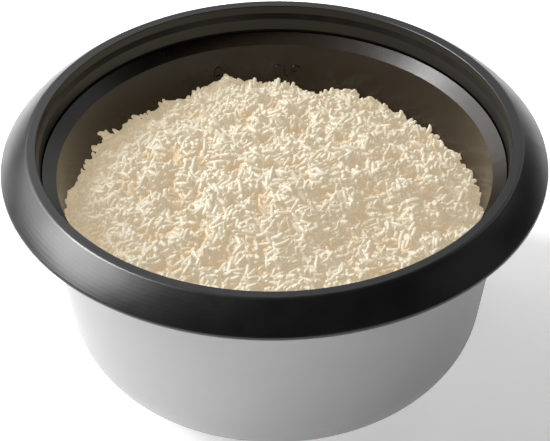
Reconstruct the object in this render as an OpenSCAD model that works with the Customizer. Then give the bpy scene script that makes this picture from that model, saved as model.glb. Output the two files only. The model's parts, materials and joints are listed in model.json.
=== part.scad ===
// Electric rice cooker: lift-out pot in a tapered steel shell under a broad sloping collar,
// heated by a cast plate, with a magnetic thermostat and a push-down switch lever.
// The origin is the middle of the plane of the feet. +Z is up, and +Y points at the control panel.

/* [Overall] */
// Height from the floor to the flat land on top of the collar
total_h = 148; // [123:1:178]
// Diameter over the collar
collar_d = 300; // [284:1:360]
// Height of the heating plate's top face above the floor
plate_z = 45; // [44:1:54]

/* [Collar] */
// Radial width of the sloping outer band
slope_w = 14.3; // [11.9:0.1:17.2]
// Radial width of the flat land
land_w = 5.8; // [4.8:0.1:7]
// Height of the collar, from its lower edge to the land
collar_h = 16.5; // [13.7:0.1:19.8]
// Wall thickness of the collar
collar_t = 2.4; // [2:0.1:2.9]
// Radius where the land turns into the slope
crest_round = 3; // [2.5:0.1:3.6]
// Bulge of the slope out of a straight line
slope_bulge = 0.6; // [0.3:0.1:1]
// Radius of the lower outer edge
skirt_round = 2; // [1.6:0.1:2.4]
// Depth of the upper recess that a lid drops into
lid_recess_h = 5; // [4:0.1:6]
// Radial width of the bevelled step that a lid rests on
lid_step_w = 1.1; // [0.9:0.1:1.4]
// Height of the bevelled step
lid_step_h = 3.5; // [2.9:0.1:4.2]
// Draft of the throat below the step, over its height
throat_draft = 0.5; // [0.4:0.1:0.6]
// Number of screws that hold the collar
collar_screw_n = 6; // [4:1:8]

/* [Shell] */
// Sheet thickness of the outer shell
shell_t = 0.8; // [0.6:0.1:1]
// How far the shell wall leans in from its top to its bottom curve
shell_run = 12.2; // [10.2:0.1:13.4]
// Radius of the curve from the wall into the bottom
shell_round = 36.3; // [30.2:0.1:43]
// Width of the shell's outward flange under the collar
shell_flange_w = 11.6; // [11:0.1:13]
// Width of the ledge around the opening in the shell's bottom
shell_ledge_w = 7; // [5.9:0.1:8.4]

/* [Pot] */
// Wall thickness of the pot
pot_t = 1.5; // [1.2:0.1:1.8]
// Radial width of the pot's sloping rim
rim_w = 7.4; // [6.2:0.1:8.8]
// Fall of the rim from its edge to the mouth
rim_fall = 4.1; // [3.4:0.1:4.9]
// Depth of the rim's edge below the land
rim_depth = 16.7; // [16.5:0.1:20]
// Inward taper of the pot wall, degrees from upright
pot_taper = 3.75; // [3.1:0.05:4.5]
// Inner radius of the curve from the pot's wall to its floor
pot_round = 34; // [28.4:0.1:40.8]

/* [Heat shield] */
// Sheet thickness of the heat shield
shield_t = 0.4; // [0.3:0.1:0.5]
// Radius of the curve from the shield's wall to its floor
shield_round = 45; // [42:0.5:54]
// Height of the shield's floor above the floor it stands on
shield_z = 30; // [29:0.5:31]
// Radius of the hole in the shield's floor
shield_hole_r = 60; // [58:0.5:61]

/* [Base] */
// Height of the feet below the base plate
foot_h = 8.3; // [7:0.1:9]
// Diameter of a foot
foot_d = 16; // [13.3:0.1:19.2]
// Thickness of the base plate
base_t = 1.2; // [1:0.1:1.4]
// Number of feet
foot_n = 4; // [3:1:4]

/* [Heating] */
// Thickness of the cast heating plate
plate_t = 8; // [7:0.1:9]
// Radius of the heating element's ring
element_ring_r = 50; // [42:0.5:51]
// Diameter of the heating element's tube
element_d = 8; // [6.7:0.1:9]
// Angle that the element's ring covers
element_sweep = 310; // [280:1:320]

/* [Thermostat] */
// Outer radius of the sensor cap
cap_r = 18; // [16:0.1:19]
// Sheet thickness of the sensor cap and its guide
cap_t = 0.8; // [0.6:0.1:1]
// How far the sensor cap springs up with no pot in
sensor_lift = 3; // [2.5:0.1:3.5]
// Thickness of the ferrite disc
ferrite_t = 4.3; // [3.6:0.1:4.8]
// Radius of the magnet
magnet_r = 12; // [10:0.1:12.4]
// Thickness of the magnet
magnet_t = 5; // [4.2:0.1:5.2]
// Radius of the magnet's rod
rod_r = 2.5; // [2.1:0.1:2.8]

/* [Switch] */
// Distance from the lever's pivot to the magnet rod
lever_inner = 48; // [46:0.5:50]
// Swing of the lever from warm to cook, degrees
lever_swing = 7.1; // [6:0.1:7.1]
// Height of the lever's pivot above the base plate
pivot_h = 5.2; // [5:0.1:5.4]
// Radius of the pivot pin
pivot_r = 2; // [1.7:0.1:2.2]
// Width of the lever's knob
knob_w = 26; // [21.7:0.1:31.2]
// Height of the lever's knob
knob_h = 8; // [6.7:0.1:9.6]
// Distance from the pivot to the micro switch's button
button_arm = 22; // [21:0.5:24]

/* [Control panel] */
// Width of the control panel
panel_w = 68; // [62:0.5:82]
// Height of the panel's lower edge above the floor
panel_z0 = 12; // [11:0.5:13]
// Height of the panel's upper edge above the floor
panel_z1 = 58; // [56:0.5:70]
// Wall thickness of the panel
panel_t = 2.2; // [1.8:0.1:2.6]
// Height of the indicator lamps above the floor
lamp_z = 42.5; // [42:0.5:43.5]
// Distance between the two lamps
lamp_gap = 28; // [24:0.5:33.6]
// Diameter of a lamp's lens
lamp_d = 8; // [6.7:0.1:8.8]

/* [Power inlet] */
// Direction of the power inlet, degrees from +X towards +Y
inlet_a = 30; // [25:1:35]
// Width of the socket
socket_w = 24; // [22:0.5:26]
// Height of the socket
socket_h = 16; // [13.4:0.1:16.6]
// Depth of the socket
socket_d = 20; // [18:0.5:21]
// Length of the pins inside the socket
pin_l = 12; // [10:0.5:13]

/* [Fits] */
// Gap between the pot's rim and the neck around it
rim_gap = 0.6; // [0.5:0.1:0.8]
// Gap between the pot and the heat shield
shield_gap = 1.5; // [1.2:0.1:1.8]
// Gap between the heat shield's neck and the shell
neck_gap = 0.7; // [0.6:0.1:0.9]
// Radial clearance of a pin that turns or a rod that slides
run_gap = 0.05; // [0.02:0.01:0.08]
// Clearance around a moulded part that drops into an opening
seat_gap = 0.3; // [0.2:0.05:0.4]

/* [Hidden] */
$fn = 96;
arc_n = 14;
eps = 0.01;

// Collar, from the outside in and from the land down
collar_r = collar_d / 2;
crest_r = collar_r - slope_w;
land_r = crest_r - land_w;
step_r = land_r - lid_step_w;
throat_r = step_r - throat_draft;
skirt_z = total_h - collar_h;
land_edge = 0.5;

// Neck of the heat shield and the shell's top
neck_lip = 0.3;
neck_r = throat_r - neck_lip;
shell_top_r = neck_r + shield_t + neck_gap + shell_t;
shell_flange_r = shell_top_r + shell_flange_w;
shell_flange_z = skirt_z;
shield_flange_z = shell_flange_z + shell_t;
seat_z = shield_flange_z + shield_t;
collar_screw_r = shell_top_r + shell_flange_w / 2 + 0.8;
collar_screw_a = 30;

// Screws, all one size
screw_r = 1.45;
pilot_r = 1.5;
hole_r = 1.9;
head_r = 3;
head_h = 2;
boss_r = 3.2;

// Base
base_z = foot_h;
base_top_z = base_z + base_t;
shell_z = base_top_z;
shell_taper = atan(shell_run / (skirt_z - shell_z - shell_round));
shell_floor_r = shell_top_r - (skirt_z - shell_z - shell_round) * tan(shell_taper)
    - shell_round / cos(shell_taper);
base_open_r = shell_floor_r - shell_ledge_w;
base_edge = 2;
base_r = shell_floor_r - base_edge;
foot_stem_r = 2.6;
foot_first_a = foot_n == 4 ? 45 : 60;
vent_angles = [200, 225, 250, 290, 315, 340];
vent_r = [32, 46];
vent_w = 3.5;

// Pot
rim_r = neck_r - rim_gap;
rim_z = total_h - rim_depth;
mouth_r = rim_r - rim_w;
mouth_z = rim_z - rim_fall;
rim_slope = rim_fall / rim_w;
rim_tv = pot_t * sqrt(1 + rim_slope * rim_slope);
pot_out_r = mouth_r + pot_t / cos(pot_taper);
rim_under_z = rim_z - rim_tv - (rim_r - pot_out_r) * rim_slope;
pot_floor_r = mouth_r - (mouth_z - plate_z - pot_t - pot_round) * tan(pot_taper)
    - pot_round / cos(pot_taper);

// Heat shield
rim_clear = 0.6;
neck_z = rim_z - rim_tv - rim_clear;
shield_top_r = pot_out_r + shield_gap;
shield_cone_z = neck_z - (neck_r - shield_top_r) * rim_slope;
shield_floor_r = shield_top_r - shield_round / cos(pot_taper)
    - (shield_cone_z - shield_z - shield_t - shield_round) * tan(pot_taper);

// Heating plate and what holds it
plate_margin = 5;
plate_r = pot_floor_r - plate_margin;
plate_under_z = plate_z - plate_t;
spacer_r = plate_r - 8;
post_inset = 11;
post_pcr = min(base_r - post_inset, shield_floor_r - head_r - 1);
post_first_a = 30;
post_r = 4;
post_h = shield_z - base_top_z;
spacer_h = plate_under_z - shield_z - shield_t;
spacer_first_a = -30;
element_z = plate_under_z + 1;
element_leg_l = 12;
element_a = (360 - element_sweep) / 2;
terminal_top_z = element_z - element_leg_l;

// Thermostat
cap_edge_w = 2.5;
cap_hole_gap = 0.6;
cap_stop_gap = 0.1;
cap_edge_z = plate_under_z - sensor_lift - cap_stop_gap - cap_t;
ferrite_z = plate_z - cap_t - ferrite_t;
rod_travel = lever_inner * lever_swing * PI / 180;
magnet_gap = rod_travel + 0.05;
magnet_z = ferrite_z - magnet_gap - magnet_t;
yoke_t = 1.2;
yoke_z = magnet_z - yoke_t;
yoke_r = cap_r - cap_t - 1.7;
guide_r = cap_r + cap_edge_w + 1;
guide_floor_z = yoke_z - 1.7 - cap_t;
guide_edge_w = 7.7;
guide_screw_r = guide_r + cap_t + guide_edge_w / 2 + 0.4;
spring_wire_r = 0.5;

// Safety parts, which sit between the sensor's guide and the ring of the element
guide_out_r = guide_r + cap_t + guide_edge_w;
ring_in_r = element_ring_r - element_d / 2;
therm_a = 148;
therm_r = (ring_in_r - guide_out_r) / 2 - 0.6;
therm_xy = (ring_in_r + guide_out_r) / 2 * [cos(therm_a), sin(therm_a)];
fuse_xy = [-34.5, -12.5];
fuse_r = 2;
fuse_l = 12;
fuse_lead_r = 0.5;
fuse_lead_l = 3;
fuse_pitch = 9;
fuse_z = plate_under_z - fuse_r - 0.3;

// Terminal block and earth screw on the base plate
block_xy = [34, -36];
block_w = 30;
block_d = 14;
block_h = 11;
block_pitch = 9;
earth_xy = [34, 26];

// Switch
pivot_z = base_top_z + pivot_h;
pivot_y = lever_inner;
hub_r = pivot_r + 1.4;
lever_t = 3;
lever_w = 8;
tip_r = 2;
tip_gap = 0.3;
tine_w = 2.5;
tine_x = rod_r + 1.7;
shoulder_z = pivot_z + tip_r + tip_gap;
shoulder_t = 1.5;
shoulder_r = tine_x + tine_w + 0.8;
ear_t = 1.2;
ear_x = tine_x + tine_w + 1.5;
bracket_t = 1.2;
bracket_x0 = -ear_x - ear_t - 7.6;
bracket_x1 = ear_x + ear_t + 12.6;
bracket_y0 = pivot_y - 12;
bracket_y1 = pivot_y + 20;

// Control panel and knob
shell_mid_z = shell_z + shell_round;
panel_face_r = shell_r(panel_z1) + 2.5;
knob_y = panel_face_r + 2.5;
knob_l = 14;
knob_z = pivot_z + 14.3;
elbow_y = panel_face_r - 25.5;
neck_w = 12;
neck_h = 5;
slot_w = neck_w + 3;
slot_z0 = panel_z0 + 2.5;
slot_z1 = knob_z + neck_h / 2 + 2.5;
window_w = 48;
window_z0 = panel_z0 + 2;
window_z1 = panel_z1 - 8;
board_y = panel_face_r - 10;
board_t = 1.2;
board_w = 44;
board_h = 10;
panel_screw_a = 13;
panel_screw_z = panel_z1 - 5.5;

// Micro switch
button_y = pivot_y + button_arm;
arm_slope = (knob_z - pivot_z) / (elbow_y - pivot_y);
button_r = 1.5;
button_gap = 0.2;
press_r = 1.6;
button_top_z = pivot_z + button_arm * arm_slope - press_r - button_gap;
button_travel = button_arm * lever_swing * PI / 180;
case_z = base_top_z + bracket_t;
case_top_z = button_top_z - button_travel - button_gap;
case_w = 10;
case_l = 20;
case_x = ear_x + ear_t + 0.4 + case_w / 2;
case_y = button_y - 14;
tab_x = 2.6;
tab_l = 6;

// Power inlet
inlet_face_r = shell_r(panel_z1) + 0.5;
inlet_z = shell_z + 14;
inlet_t = 2;
inlet_w = 44;
inlet_h = socket_h + 8;
body_w = socket_w + 2 * inlet_t;
body_h = socket_h + 2 * inlet_t;
body_l = socket_d + inlet_t;
inlet_screw_y = 18;
pin_places = [[-7, -2], [0, 3], [7, -2]];
pin_t = 2;
pin_w = 4;
pin_tail = 8;

// Wires
wire_r = 1.1;
lamp_wire_r = 0.8;
bulb_r = 2.2;

// Points of an arc about c, from angle a0 to angle a1
function arc(c, r, a0, a1, n = arc_n) =
    [for (i = [0 : n]) c + r * [cos(a0 + (a1 - a0) * i / n), sin(a0 + (a1 - a0) * i / n)]];

// Points of a shallow arc from p to q that bulges to the left of the way from p to q
function bow(p, q, s, n = arc_n) =
    let (d = q - p, u = [-d[1], d[0]] / norm(d))
    [for (i = [0 : n]) p + d * i / n + u * 4 * s * (i / n) * (1 - i / n)];

function reversed(v) = [for (i = [len(v) - 1 : -1 : 0]) v[i]];

// Outline of a tapered bowl from its top edge to the end of its floor curve, moved inwards by off
function bowl(top_r, top_z, taper, floor_z, rad, off) =
    let (c = [top_r - (top_z - floor_z - rad) * tan(taper) - rad / cos(taper), floor_z + rad])
    concat([[top_r - off / cos(taper), top_z]], arc(c, rad - off, -taper, -90));

function shell_line(off) = bowl(shell_top_r, skirt_z, shell_taper, shell_z, shell_round, off);
function shield_line(off) =
    bowl(shield_top_r, shield_cone_z, pot_taper, shield_z + shield_t, shield_round, off);
function pot_line(off) = bowl(mouth_r, mouth_z, pot_taper, plate_z + pot_t, pot_round, off);

// Outer radius of the shell at height z
function shell_r(z) = z >= shell_mid_z
    ? shell_top_r - (skirt_z - z) * tan(shell_taper)
    : shell_floor_r + sqrt(pow(shell_round, 2) - pow(shell_mid_z - z, 2));

// A round tube along a path of points, closed at both ends
function ahead(p, i) = let (d = p[min(i + 1, len(p) - 1)] - p[max(i - 1, 0)]) d / norm(d);
function side(t) = let (s = cross(t, abs(t[2]) < 0.9 ? [0, 0, 1] : [1, 0, 0])) s / norm(s);
module tube(path, r, sides = 8) {
    n = len(path);
    rings = [for (i = [0 : n - 1]) let (t = ahead(path, i), u = side(t), v = cross(t, u))
        for (k = [0 : sides - 1]) path[i] + r * (u * cos(360 * k / sides) + v * sin(360 * k / sides))];
    walls = [for (i = [0 : n - 2], k = [0 : sides - 1])
        let (a = i * sides + k, b = i * sides + (k + 1) % sides) [a, a + sides, b + sides, b]];
    caps = [[for (k = [0 : sides - 1]) k], [for (k = [sides - 1 : -1 : 0]) (n - 1) * sides + k]];
    polyhedron(rings, concat(walls, caps));
}

// A smooth curve through hand-picked points, with the ends held
function curve_at(p, i, t) =
    let (a = p[max(i - 1, 0)], b = p[i], c = p[i + 1], d = p[min(i + 2, len(p) - 1)])
    0.5 * (2 * b + (c - a) * t + (2 * a - 5 * b + 4 * c - d) * t * t
        + (3 * b - a - 3 * c + d) * t * t * t);
function curve(p, n = 5) =
    concat([for (i = [0 : len(p) - 2], k = [0 : n - 1]) curve_at(p, i, k / n)], [p[len(p) - 1]]);

// A coil spring on the Z axis, between two heights
module coil(mean_r, wire_r, z0, z1, turns) {
    steps = 16 * turns;
    low = z0 + wire_r;
    rise = z1 - z0 - 2 * wire_r;
    tube([for (i = [0 : steps]) [mean_r * cos(i * 22.5), mean_r * sin(i * 22.5), low + rise * i / steps]],
        wire_r, 6);
}

// A pan-head screw pointing up, with the underside of its head at z = 0
module screw(shank_r, shank_l, head_r, head_h) {
    difference() {
        translate([0, 0, -head_h]) cylinder(r = head_r, h = head_h);
        translate([0, 0, -head_h]) cube([head_r * 1.3, 0.7, head_h], center = true);
        translate([0, 0, -head_h]) cube([0.7, head_r * 1.3, head_h], center = true);
    }
    translate([0, 0, -eps]) cylinder(r = shank_r, h = shank_l + eps);
}

module at_angles(n, r, first = 0) {
    for (i = [0 : n - 1]) rotate([0, 0, first + i * 360 / n]) translate([r, 0, 0]) children();
}

// A cylinder that points along +Y from y = 0
module along_y(r, l) { rotate([-90, 0, 0]) cylinder(r = r, h = l); }

// A plate in the YZ plane, w wide along X and centred on it
module side_plate(w) {
    translate([-w / 2, 0, 0]) rotate([90, 0, 90]) linear_extrude(w) children();
}

// A straight bar between two points, with round ends
module bar(p, q, w) {
    d = q - p;
    translate(p) rotate(atan2(d[1], d[0])) translate([0, -w / 2]) square([norm(d), w]);
    translate(p) circle(d = w);
    translate(q) circle(d = w);
}

module rounded_rect(w, h, r) {
    square([w - 2 * r, h], center = true);
    square([w, h - 2 * r], center = true);
    for (x = [-1, 1], y = [-1, 1]) translate([x * (w / 2 - r), y * (h / 2 - r)]) circle(r);
}

// The space inside the shell's outer face, grown by gap
module shell_space(gap) {
    rotate_extrude() polygon(concat([[0, skirt_z]], shell_line(-gap), [[0, shell_z - gap]]));
}

// ---------- collar ----------
module collar_outline() {
    crest_flat_r = crest_r - crest_round * tan(22.5);
    crest_a = 52;
    skirt_a = 38;
    crest_c = [crest_flat_r, total_h - crest_round];
    skirt_c = [collar_r - skirt_round, skirt_z + skirt_round];
    polygon(concat(
        [[throat_r, seat_z], [step_r, total_h - lid_recess_h - lid_step_h],
            [land_r, total_h - lid_recess_h]],
        arc([land_r + land_edge, total_h - land_edge], land_edge, 180, 90, 4),
        arc(crest_c, crest_round, 90, crest_a, 6),
        bow(crest_c + crest_round * [cos(crest_a), sin(crest_a)],
            skirt_c + skirt_round * [cos(skirt_a), sin(skirt_a)], slope_bulge, 8),
        arc(skirt_c, skirt_round, skirt_a, -90, 8),
        [[collar_r - collar_t, skirt_z], [collar_r - collar_t, seat_z]]));
}

module collar_hollow() {
    inner_r = land_r + 1.6;
    top_z = total_h - collar_t;
    wall_r = collar_r - collar_t;
    fall = collar_h - skirt_round;
    run = norm([slope_w, fall]);
    under = [crest_r - collar_t * fall / run, total_h - collar_t * slope_w / run];
    polygon([[inner_r, skirt_z - 1], [inner_r, top_z],
        [under[0] + (under[1] - top_z) * slope_w / fall, top_z],
        [wall_r, under[1] - (wall_r - under[0]) * fall / slope_w], [wall_r, skirt_z - 1]]);
}

module collar() color([0.17, 0.17, 0.17]) {
    difference() {
        union() {
            rotate_extrude() difference() { collar_outline(); collar_hollow(); }
            intersection() {
                at_angles(collar_screw_n, collar_screw_r, collar_screw_a)
                    translate([0, 0, seat_z]) cylinder(r = boss_r, h = collar_h);
                rotate_extrude() collar_outline();
            }
        }
        at_angles(collar_screw_n, collar_screw_r, collar_screw_a)
            translate([0, 0, seat_z - 1]) cylinder(r = pilot_r, h = 9);
    }
}

module collar_screws() color("silver")
    at_angles(collar_screw_n, collar_screw_r, collar_screw_a)
        translate([0, 0, shell_flange_z]) screw(screw_r, 8, head_r, head_h);

// ---------- shell and shield ----------
module outer_shell() color([0.85, 0.85, 0.84]) {
    lip_r = shell_top_r - shell_t / cos(shell_taper);
    difference() {
        rotate_extrude() polygon(concat(
            [[shell_flange_r, shell_flange_z + shell_t], [shell_flange_r, shell_flange_z]],
            shell_line(0), [[base_open_r, shell_z], [base_open_r, shell_z + shell_t]],
            reversed(shell_line(shell_t)), [[lip_r, shell_flange_z + shell_t]]));
        at_angles(collar_screw_n, collar_screw_r, collar_screw_a)
            translate([0, 0, shell_flange_z - 1]) cylinder(r = hole_r, h = 3);
        translate([-window_w / 2, 0, window_z0]) cube([window_w, collar_r, window_z1 - window_z0]);
        for (a = [-1, 1]) panel_screw_place(a) translate([0, -10, 0]) along_y(hole_r, 20);
        at_inlet() {
            translate([shell_floor_r + 5, -body_w / 2 - seat_gap, inlet_z - body_h / 2 - seat_gap])
                cube([collar_r, body_w + 2 * seat_gap, body_h + 2 * seat_gap]);
            for (y = [-1, 1]) translate([shell_floor_r, y * inlet_screw_y, inlet_z])
                rotate([0, 90, 0]) cylinder(r = pilot_r, h = 60);
        }
    }
}

module heat_shield() color([0.75, 0.76, 0.78]) {
    difference() {
        rotate_extrude() polygon(concat([[neck_r, seat_z], [neck_r, neck_z]], shield_line(0),
            [[shield_hole_r, shield_z + shield_t], [shield_hole_r, shield_z]],
            reversed(shield_line(-shield_t)),
            [[neck_r + shield_t, neck_z - shield_t / 2], [neck_r + shield_t, shield_flange_z],
                [shell_flange_r - 1, shield_flange_z], [shell_flange_r - 1, seat_z]]));
        at_angles(collar_screw_n, collar_screw_r, collar_screw_a)
            translate([0, 0, shield_flange_z - 1]) cylinder(r = hole_r, h = 3);
        at_angles(3, spacer_r, spacer_first_a) translate([0, 0, shield_z - 1]) cylinder(r = hole_r, h = 3);
        at_angles(3, post_pcr, post_first_a) translate([0, 0, shield_z - 1]) cylinder(r = hole_r, h = 3);
    }
}

// ---------- base ----------
module base_plate() color([0.72, 0.72, 0.72]) {
    difference() {
        translate([0, 0, base_z]) cylinder(r = base_r, h = base_t);
        at_angles(3, post_pcr, post_first_a) translate([0, 0, base_z - 1]) cylinder(r = hole_r, h = 4);
        feet_places() translate([0, 0, base_z - 1]) cylinder(r = foot_stem_r + run_gap, h = 4);
        bracket_screw_places() translate([0, 0, base_z - 1]) cylinder(r = pilot_r, h = 4);
        translate([earth_xy[0], earth_xy[1], base_z - 1]) cylinder(r = pilot_r, h = 4);
        for (a = vent_angles) rotate([0, 0, a]) translate([0, 0, base_z - 1]) linear_extrude(4)
            bar([vent_r[0], 0], [vent_r[1], 0], vent_w);
    }
}

module base_screws() color("silver")
    at_angles(3, post_pcr, post_first_a) translate([0, 0, base_z]) screw(screw_r, 8, head_r, head_h);

module feet_places() { at_angles(foot_n, base_r - foot_d / 2 - 4, foot_first_a) children(); }
module feet() color([0.12, 0.12, 0.12]) feet_places() {
    edge = 1.2;
    rotate_extrude() polygon(concat([[0, 0]], arc([foot_d / 2 - edge, edge], edge, -90, 0, 4),
        [[foot_d / 2, foot_h], [foot_stem_r, foot_h], [foot_stem_r, base_top_z],
            [foot_stem_r + 1.6, base_top_z], [foot_stem_r + 0.6, base_top_z + 2.4], [0, base_top_z + 2.4]]));
}

module support_posts() color([0.8, 0.8, 0.82])
    at_angles(3, post_pcr, post_first_a) translate([0, 0, base_top_z]) difference() {
        cylinder(r = post_r, h = post_h);
        translate([0, 0, -1]) cylinder(r = pilot_r, h = 10);
        translate([0, 0, post_h - 7]) cylinder(r = pilot_r, h = 8);
    }

module post_screws() color("silver")
    at_angles(3, post_pcr, post_first_a) translate([0, 0, shield_z + shield_t])
        mirror([0, 0, 1]) screw(screw_r, 6, head_r, head_h);

// ---------- heating plate ----------
module heating_plate() color([0.78, 0.79, 0.8]) {
    edge = 1.5;
    difference() {
        rotate_extrude() difference() {
            polygon(concat([[cap_r + cap_hole_gap, plate_under_z]], [[plate_r - 3, plate_under_z]],
                [[plate_r, plate_under_z + 2]],
                arc([plate_r - edge, plate_z - edge], edge, 0, 90, 4),
                [[cap_r + cap_hole_gap, plate_z]]));
            translate([element_ring_r, element_z]) circle(r = element_d / 2 + run_gap);
        }
        at_angles(3, spacer_r, spacer_first_a)
            translate([0, 0, plate_under_z - 1]) cylinder(r = pilot_r, h = 6.5);
        at_angles(2, guide_screw_r, 0) translate([0, 0, plate_under_z - 1]) cylinder(r = pilot_r, h = 5.5);
        for (y = [-1, 1]) translate([fuse_xy[0], fuse_xy[1] + y * fuse_pitch, plate_under_z - 1])
            cylinder(r = pilot_r, h = 4.5);
    }
}

module element_ends() {
    for (a = [-1, 1]) rotate([0, 0, a * element_a]) translate([element_ring_r, 0, element_z]) children();
}
module heating_element() color([0.5, 0.5, 0.5]) {
    rotate([0, 0, element_a]) rotate_extrude(angle = element_sweep)
        translate([element_ring_r, element_z]) circle(d = element_d);
    element_ends() {
        sphere(d = element_d);
        translate([0, 0, -element_leg_l])
            cylinder(d = element_d, h = element_leg_l - element_z + plate_under_z);
    }
}

module element_terminals() color("gold") element_ends() {
    translate([0, 0, -element_leg_l - 3]) cylinder(r = 1.6, h = 3);
    translate([-0.4, -3.1, -element_leg_l - 9]) cube([0.8, 6.2, 6.5]);
}

module plate_spacers() color([0.8, 0.8, 0.82])
    at_angles(3, spacer_r, spacer_first_a) translate([0, 0, shield_z + shield_t]) difference() {
        cylinder(r = post_r, h = spacer_h);
        translate([0, 0, -1]) cylinder(r = hole_r, h = spacer_h + 2);
    }

module plate_screws() color("silver")
    at_angles(3, spacer_r, spacer_first_a) translate([0, 0, shield_z])
        screw(screw_r, shield_t + spacer_h + 5, head_r, head_h);

// ---------- thermostat ----------
module sensor_guide() color([0.7, 0.7, 0.7]) difference() {
    rotate_extrude() {
        translate([rod_r + 0.7, guide_floor_z]) square([guide_r + cap_t - rod_r - 0.7, cap_t]);
        translate([guide_r, guide_floor_z]) square([cap_t, plate_under_z - guide_floor_z]);
        translate([guide_r, plate_under_z - cap_t]) square([cap_t + guide_edge_w, cap_t]);
    }
    at_angles(2, guide_screw_r, 0) translate([0, 0, plate_under_z - cap_t - 1]) cylinder(r = hole_r, h = 3);
}

module guide_screws() color("silver")
    at_angles(2, guide_screw_r, 0) translate([0, 0, plate_under_z - cap_t])
        screw(screw_r, cap_t + 4, head_r - 0.4, head_h);

module sensor_spring() color("silver")
    coil(cap_r + 1.6, spring_wire_r, guide_floor_z + cap_t + 0.05, cap_edge_z - 0.05, 4);

module sensor_cap() color([0.86, 0.87, 0.88]) rotate_extrude() {
    edge = 1;
    difference() {
        polygon(concat([[0, cap_edge_z], [cap_r + cap_edge_w, cap_edge_z],
            [cap_r + cap_edge_w, cap_edge_z + cap_t], [cap_r, cap_edge_z + cap_t]],
            arc([cap_r - edge, plate_z - edge], edge, 0, 90, 4), [[0, plate_z]]));
        translate([-1, cap_edge_z - 1]) square([cap_r - cap_t + 1, plate_z - cap_t - cap_edge_z + 1]);
    }
}

module ferrite_disc() color([0.25, 0.25, 0.27])
    translate([0, 0, ferrite_z]) cylinder(r = cap_r - cap_t - 1.2, h = ferrite_t);

module magnet_spring() color("silver")
    coil(magnet_r + 1.6, spring_wire_r, magnet_z + 0.1, ferrite_z - 0.1, 5);

module magnet() color([0.3, 0.3, 0.32])
    translate([0, 0, magnet_z]) cylinder(r = magnet_r, h = magnet_t);

module magnet_rod() color([0.75, 0.75, 0.77]) {
    translate([0, 0, yoke_z]) cylinder(r = yoke_r, h = yoke_t);
    translate([0, 0, pivot_z - 2.7]) cylinder(r = rod_r, h = yoke_z - pivot_z + 2.7 + eps);
    translate([0, 0, shoulder_z]) cylinder(r = shoulder_r, h = shoulder_t);
}

// ---------- switch ----------
module switch_lever() color([0.7, 0.7, 0.72]) difference() {
    pivot = [pivot_y, pivot_z];
    union() {
        for (x = [-1, 1]) translate([x * (tine_x + tine_w / 2), 0, 0])
            side_plate(tine_w) bar([0, pivot_z], pivot, 2 * tip_r);
        side_plate(2 * (tine_x + tine_w)) translate(pivot) circle(hub_r);
        side_plate(lever_w) {
            bar(pivot, [elbow_y, knob_z], lever_t);
            bar([elbow_y, knob_z], [knob_y + 4, knob_z], lever_t);
        }
        translate([case_x / 2, 0, 0]) side_plate(case_x + 2 * button_r)
            translate([button_y, pivot_z + button_arm * arm_slope]) circle(press_r);
    }
    translate([-collar_r, pivot_y, pivot_z]) rotate([0, 90, 0]) cylinder(r = pivot_r + run_gap, h = collar_d);
}

module lever_knob() color([0.15, 0.15, 0.15]) difference() {
    union() {
        translate([0, knob_y + knob_l / 2, knob_z - knob_h / 2]) linear_extrude(knob_h)
            rounded_rect(knob_w, knob_l, 4);
        translate([-neck_w / 2, knob_y - 9, knob_z - neck_h / 2]) cube([neck_w, 10, neck_h]);
    }
    translate([-lever_w / 2 - run_gap, knob_y - 10, knob_z - lever_t / 2 - run_gap])
        cube([lever_w + 2 * run_gap, 16, lever_t + 2 * run_gap]);
}

module lever_pin() color("silver") translate([-ear_x - ear_t - 1.5, pivot_y, pivot_z])
    rotate([0, 90, 0]) {
        cylinder(r = pivot_r, h = 2 * (ear_x + ear_t + 1.5));
        cylinder(r = pivot_r + 1.2, h = 1.2);
        translate([0, 0, 2 * (ear_x + ear_t) + 1.8]) cylinder(r = pivot_r + 1.2, h = 1.2);
    }

module bracket_screw_places() {
    for (p = [[bracket_x0 + 3.8, bracket_y0 + 4], [bracket_x0 + 3.8, bracket_y1 - 5],
        [ear_x + ear_t + 4, bracket_y0 + 4]]) translate(p) children();
}

module switch_bracket() color([0.68, 0.68, 0.7]) difference() {
    union() {
        translate([bracket_x0, bracket_y0, base_top_z])
            cube([bracket_x1 - bracket_x0, bracket_y1 - bracket_y0, bracket_t]);
        for (x = [-1, 1]) translate([x * (ear_x + ear_t / 2), 0, 0]) side_plate(ear_t) {
            translate([pivot_y - 6, base_top_z]) square([12, pivot_h]);
            translate([pivot_y, pivot_z]) circle(6);
        }
    }
    translate([-collar_r, pivot_y, pivot_z]) rotate([0, 90, 0]) cylinder(r = pivot_r + 0.02, h = collar_d);
    translate([0, pivot_y, base_top_z]) cube([2 * ear_x, 2 * hub_r + 2, 4 * bracket_t], center = true);
    translate([2 * bracket_x0, bracket_y0, base_top_z - 5]) cube([4 * bracket_x1, 2 * pivot_y, 5]);
    bracket_screw_places() translate([0, 0, base_top_z - 1]) cylinder(r = hole_r, h = 4);
}

module bracket_screws() color("silver")
    bracket_screw_places() translate([0, 0, base_top_z + bracket_t])
        mirror([0, 0, 1]) screw(screw_r, bracket_t + base_t + 0.8, head_r, head_h);

module micro_switch() color([0.1, 0.1, 0.11]) difference() {
    translate([case_x - case_w / 2, case_y, case_z]) cube([case_w, case_l, case_top_z - case_z]);
    translate([case_x, button_y, case_z + 0.3]) cylinder(r = button_r + run_gap, h = 20);
    for (x = [-1, 1]) translate([case_x + x * tab_x - 0.45, case_y + case_l - 3, case_z + 1.2])
        cube([0.9, 4, 3.4]);
}

module switch_button() color([0.8, 0.15, 0.1])
    translate([case_x, button_y, case_z + 0.3 + button_travel + 0.3])
        cylinder(r = button_r, h = button_top_z - case_z - button_travel - 0.6);

module switch_terminals() color("gold")
    for (x = [-1, 1]) translate([case_x + x * tab_x - 0.4, case_y + case_l - 2.9, case_z + 1.3])
        cube([0.8, 2.9 + tab_l, 3.2]);

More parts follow.
